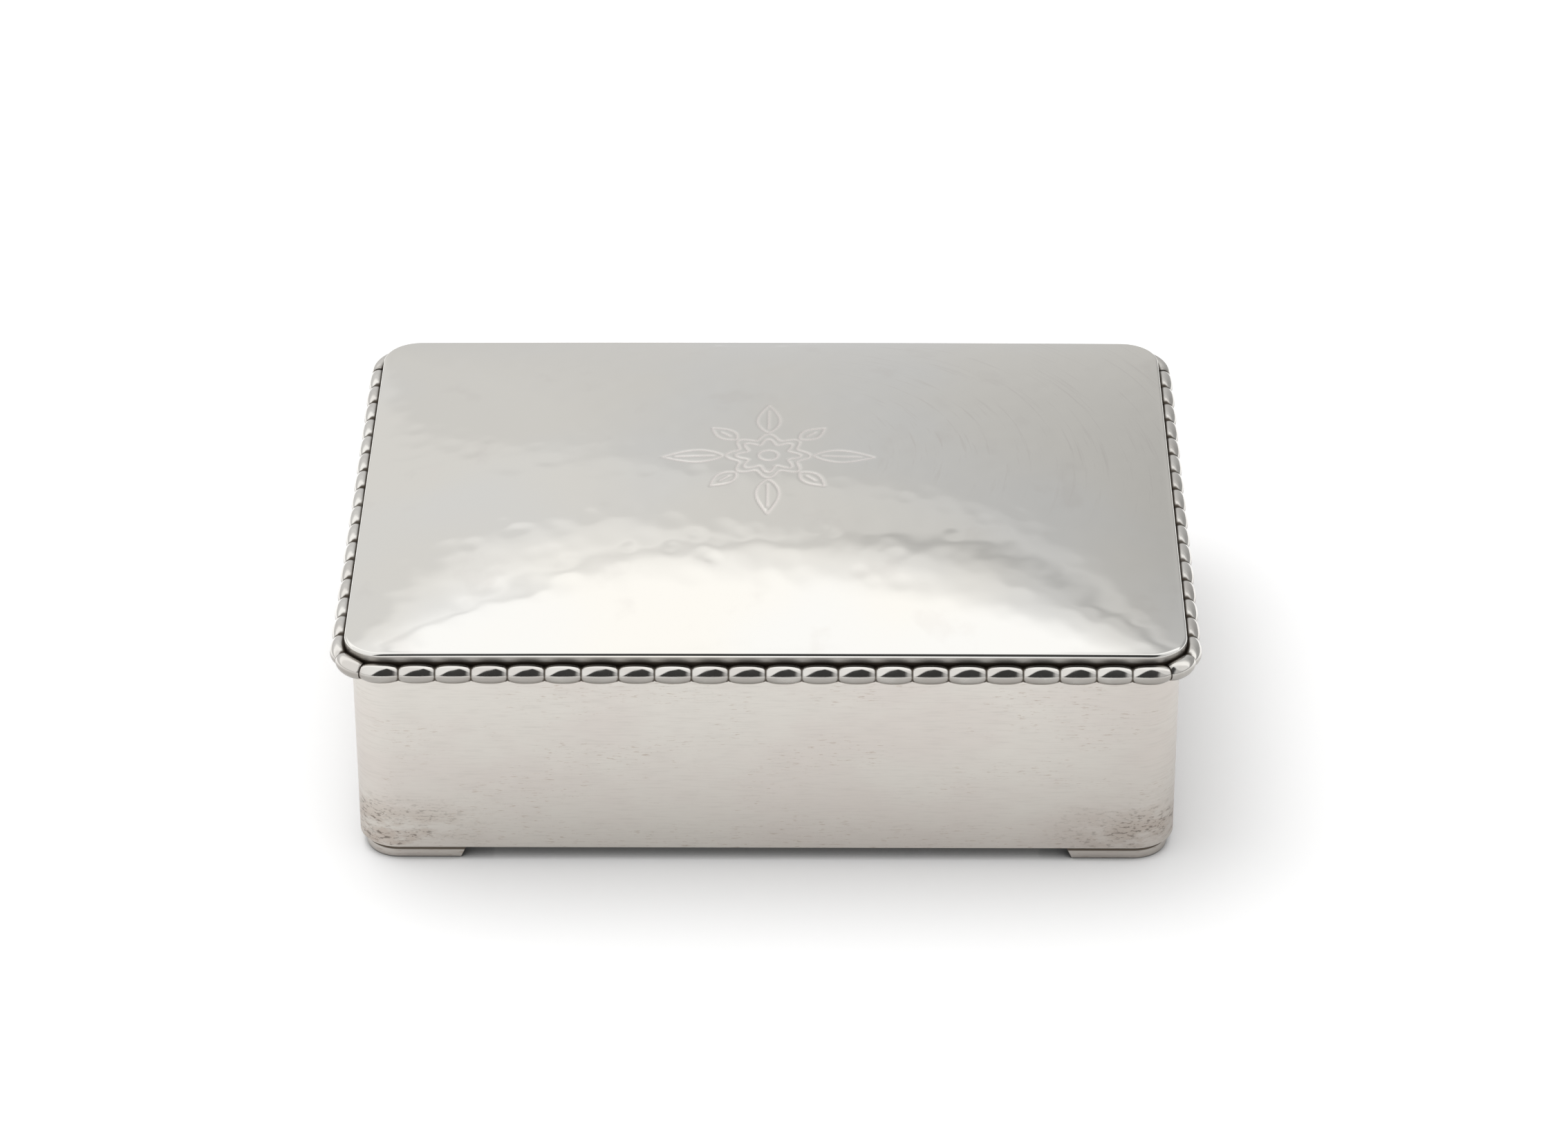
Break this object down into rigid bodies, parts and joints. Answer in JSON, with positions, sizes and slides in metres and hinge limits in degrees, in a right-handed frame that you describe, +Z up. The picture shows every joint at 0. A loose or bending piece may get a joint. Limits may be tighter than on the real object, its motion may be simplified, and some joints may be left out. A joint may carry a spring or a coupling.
{
  "type": "silver keepsake box",
  "caption": "Rectangular silver box on low corner feet, with plain satin walls and a hinged, softly domed hammered lid edged with barrel beads.",
  "frame": {"origin": "on the table under the middle of the box", "axes": "+X along the box to the right seen from the front, +Y back to the hinge, +Z up"},
  "size_m": [0.167, 0.1278, 0.0576],
  "materials": {
    "satin_silver": "satin silver sheet with fine scratches and brownish tarnish near the lower corners",
    "polished_silver": "polished, softly hammered silver",
    "bead_silver": "polished silver with dark tarnish in the crevices",
    "hinge_silver": "polished silver, lightly tarnished"
  },
  "bodies": {
    "body": {"body_wall": "satin_silver", "base_plate": "satin_silver", "inner_bezel": "satin_silver", "foot_front_left": "satin_silver", "foot_front_right": "satin_silver", "foot_rear_left": "satin_silver", "foot_rear_right": "satin_silver", "hinge_body_leaf": "hinge_silver", "hinge_body_knuckle_1": "hinge_silver", "hinge_body_knuckle_2": "hinge_silver", "hinge_body_knuckle_3": "hinge_silver", "hinge_body_knuckle_4": "hinge_silver", "hinge_pin": "hinge_silver"},
    "lid": {"lid_dome": "polished_silver", "lid_seat_ring": "polished_silver", "bead_strip_front": "bead_silver", "bead_strip_left": "bead_silver", "bead_strip_right": "bead_silver", "bead_strip_rear": "bead_silver", "corner_bead_front_left": "bead_silver", "corner_bead_front_right": "bead_silver", "corner_bead_rear_left": "bead_silver", "corner_bead_rear_right": "bead_silver", "hinge_lid_leaf": "hinge_silver", "hinge_lid_knuckle_1": "hinge_silver", "hinge_lid_knuckle_2": "hinge_silver", "hinge_lid_knuckle_3": "hinge_silver"}
  },
  "joints": [
    {"name": "lid_hinge", "type": "hinge", "parent": "body", "child": "lid", "pos_m": [0, 0.062, 0.03995], "axis": [-1, 0, 0], "range_deg": [0, 100]}
  ]
}
